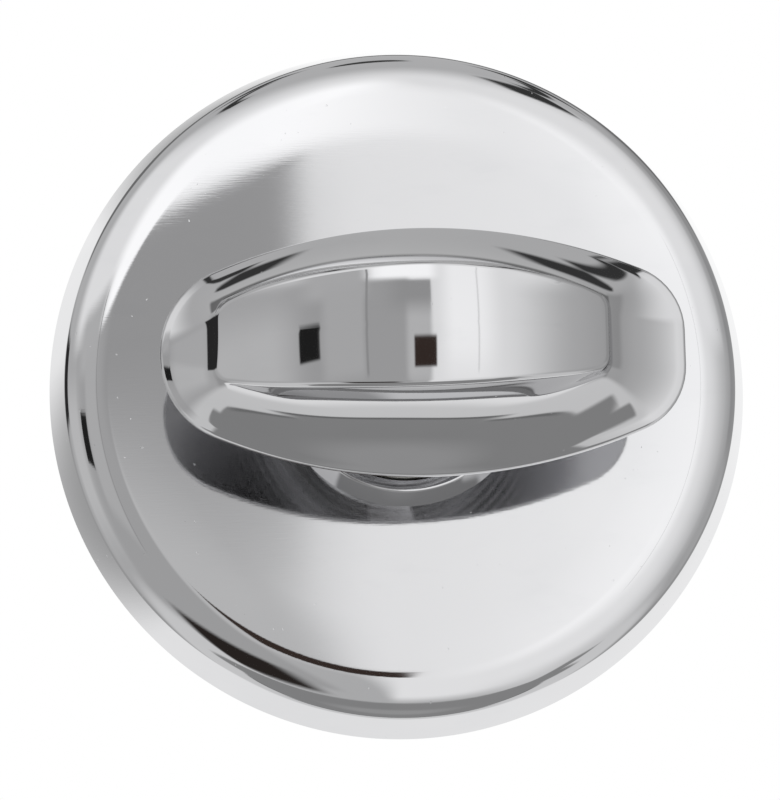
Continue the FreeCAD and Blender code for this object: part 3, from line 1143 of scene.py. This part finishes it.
@dataclass
class Studio:
    """White surroundings, floor and camera."""

    azimuth: float = -3.75
    elevation: float = -8.3
    roll: float = 1.5
    distance: float = 300.0
    focal_pixels: float = 4168.0
    centre_pixel: Pair = (398.0, 391.6)
    image: tuple[int, int] = (780, 800)
    floor_height: float = -0.12
    floor_half: float = 1.5
    room_light: float = 0.62
    patches: tuple[LightPatch, ...] = (
        # Ceiling and its glow.
        LightPatch((-80, 66), (13, 56), (40, 40, 5, 24), 1.1),
        LightPatch((-180, 180), (68, 95), (1, 1, 10, 1), 0.63),
        # Bright wall and window on the right.
        LightPatch((1.5, 54), (-46, 30), (4, 46, 14, 20), 1.14),
        LightPatch((8, 30), (-10, 26), (10, 14, 20, 20), 1.38),
        # Highlight upper left.
        LightPatch((-26, 4), (14.0, 40), (16, 8, 2, 18), 1.5),
        # Far left wall, then the near grey wall.
        LightPatch((-128, -40), (-40, 16), (20, 24, 14, 10), 0.57),
        LightPatch((-112, -52), (-20, 8), (20, 20, 20, 12), 0.71),
        LightPatch((-60, -8), (-40, 14), (24, 4, 8, 2), 0.51),
        LightPatch((-56, -27), (10, 19.5), (14, 9, 4, 5), 0.62),
        LightPatch((-9, 1.0), (-12, 9), (4, 3, 4, 4), 0.7),
        LightPatch((-16, 1.8), (6.5, 13.6), (14, 0.9, 7, 0.9), 0.44),
        # Far sides.
        LightPatch((84, 150), (-34, 52), (30, 8, 14, 20), 0.52),
        LightPatch((100, 138), (-4, 46), (12, 8, 8, 10), 0.4),
        LightPatch((128, 153), (-45, 24), (10, 6, 10, 16), 0.4),
        LightPatch((-153, -128), (-45, 20), (6, 16, 10, 16), 0.44),
        # Low band behind, seen by the lower flank.
        LightPatch((-150, 150), (-59.5, -34), (40, 40, 2, 14), 0.84, behind=True),
        # Straight down, the floor in front and the floor's dark edges.
        LightPatch((-180, 180), (-95, -59.8), (1, 1, 1, 1.4), 0.33),
        LightPatch((-90, 90), (-70, -52), (10, 10, 4, 3), 0.33),
        LightPatch((-180, 180), (-95, -78), (1, 1, 1, 12), 0.42),
        LightPatch((-72, 72), (-61.4, -59.9), (16, 16, 1, 0.8), 0.22, behind=True),
        LightPatch((47, 65), (-58, -43), (6, 5, 4, 4), 0.33),
        # Behind the part: a bright wall, the floor's edge and a dark shelf.
        LightPatch((-32, 32), (-60, 22), (6, 6, 6, 4), 1.08, behind=True),
        LightPatch((-36, 36), (-58, -42), (10, 10, 1, 10), 0.84, behind=True),
        LightPatch((-34, 34), (-64, -56), (12, 12, 4, 1.4), 0.33, behind=True),
        LightPatch((-34, 34), (-57.8, -56.1), (12, 12, 1, 0.8), 0.2, behind=True),
        LightPatch((-46, 46), (24, 42), (8, 8, 4, 6), 0.2, behind=True),
        # Dark beams overhead.
        LightPatch((-140, -62), (65, 69), (8, 8, 2, 2), 0.05),
        LightPatch((-160, -138), (55, 65), (8, 8, 3, 3), 0.05),
        LightPatch((60, 122), (61.5, 65.5), (8, 8, 2, 2), 0.05),
        LightPatch((34, 62), (53, 62), (8, 8, 3, 3), 0.05),
        LightPatch((120, 150), (52, 62), (8, 8, 4, 3), 0.05),
        LightPatch((-180, 180), (84, 95), (1, 1, 2, 1), 0.06),
        # Dark gap at the far left.
        LightPatch((-142, -114), (3, 16), (4, 3, 3, 3), 0.03),
        # Dark cards in front, a black slot at the left and a grey board between them.
        LightPatch((-6, 4.0), (-9.0, -1.0), (1.0, 1.0, 1.0, 1.5), 0.05, (1.0, 0.7, 0.6)),
        LightPatch((-44, -15), (-48, -29), (8, 8, 7, 5), 0.03, (1.0, 0.8, 0.73)),
        LightPatch((-57, -47.5), (-4.0, 4.5), (1.0, 1.0, 1.0, 1.5), 0.02),
        LightPatch((-46, -28), (-10, 13), (6, 3, 6, 6), 0.6),
        # Seams of the walls.
        LightPatch((-27.2, -26.2), (-10, 18), (0.5, 0.5, 2, 2), 0.4),
        LightPatch((23.2, 23.9), (-10, 18), (0.4, 0.4, 2, 2), 1.0),
    )

    def camera(self) -> None:
        """Place the camera at the photograph's angle."""
        a, e = math.radians(self.azimuth), math.radians(self.elevation)
        back = Vector((math.sin(a) * math.cos(e), -math.cos(a) * math.cos(e), math.sin(e)))
        turn = back.to_track_quat("Z", "Y").to_matrix().to_4x4()
        turn = turn @ Matrix.Rotation(math.radians(-self.roll), 4, "Z")
        scale = self.distance / self.focal_pixels
        off_x = (self.centre_pixel[0] - self.image[0] / 2) * scale
        off_y = (self.image[1] / 2 - self.centre_pixel[1]) * scale
        target = turn @ Vector((-off_x, -off_y, 0.0))
        data = bpy.data.cameras.new("camera")
        data.sensor_fit = "HORIZONTAL"
        data.sensor_width = 36.0
        data.lens = self.focal_pixels / self.image[0] * data.sensor_width
        data.clip_start = 0.005
        camera = bpy.data.objects.new("camera", data)
        bpy.context.scene.collection.objects.link(camera)
        camera.matrix_world = Matrix.Translation((target + back * self.distance) * MM) @ turn
        bpy.context.scene.camera = camera

    def world(self) -> None:
        """Build the white surroundings with their soft patches."""
        world = bpy.data.worlds.new("studio")
        bpy.context.scene.world = world
        world.use_nodes = True
        world.cycles.sampling_method = "NONE"
        shader = Shader(world.node_tree)
        x, y, z = shader.axes(shader.node("ShaderNodeTexCoord").outputs["Generated"])
        degrees = 180.0 / math.pi
        from_front = x.math("ARCTAN2", x, -y) * degrees
        from_back = x.math("ARCTAN2", x, y) * degrees
        elevation = z.math("ARCSINE", z) * degrees
        colour: Any = (self.room_light, self.room_light, self.room_light)
        for patch in self.patches:
            azimuth = from_back if patch.behind else from_front
            colour = shader.mix(patch.mask(azimuth, elevation), colour, patch.colour())
        path = shader.node("ShaderNodeLightPath")
        room = shader.node("ShaderNodeBackground", inputs={"Color": colour})
        white = shader.node("ShaderNodeBackground", inputs={"Color": (1.0, 1.0, 1.0, 1.0)})
        seen = shader.node("ShaderNodeMixShader", inputs={
            0: path.outputs["Is Camera Ray"], 1: room.outputs[0], 2: white.outputs[0]})
        shader.node("ShaderNodeOutputWorld", inputs={"Surface": seen.outputs[0]})

    def floor(self) -> None:
        """Lay a pale floor well below the part."""
        mesh = bmesh.new()
        bmesh.ops.create_grid(mesh, x_segments=8, y_segments=8, size=self.floor_half)
        bmesh.ops.translate(mesh, verts=mesh.verts, vec=(0, 0, self.floor_height))
        data = bpy.data.meshes.new("floor")
        mesh.to_mesh(data)
        mesh.free()
        material, shader = new_material("pale_floor")
        grain = shader.noise(shader.place(), 60.0, 2.0)
        surface(shader, {
            "Base Color": shader.mix(grain, (0.86, 0.86, 0.86), (0.90, 0.90, 0.90)),
            "Roughness": 0.8,
        })
        data.materials.append(material)
        floor = bpy.data.objects.new("floor", data)
        bpy.context.scene.collection.objects.link(floor)
        floor.visible_glossy = False

    def build(self) -> None:
        """Set up the whole studio."""
        bpy.context.scene.view_settings.view_transform = "Standard"
        self.camera()
        self.world()
        self.floor()


def main() -> None:
    """Build the part's pieces in order, then the studio."""
    logging.basicConfig(level=logging.INFO, format="%(name)s %(message)s")
    builders: tuple[tuple[str, Callable[[], None]], ...] = (
        ("rosette", Rosette().build),
        ("turn", ThumbTurn().build),
        ("bolts", FixingBolts().build),
        ("hardware", HardwareDress().build),
        ("studio", Studio().build),
    )
    for name, build in builders:
        LOG.info("building the %s", name)
        build()


if __name__ == "__main__":
    main()
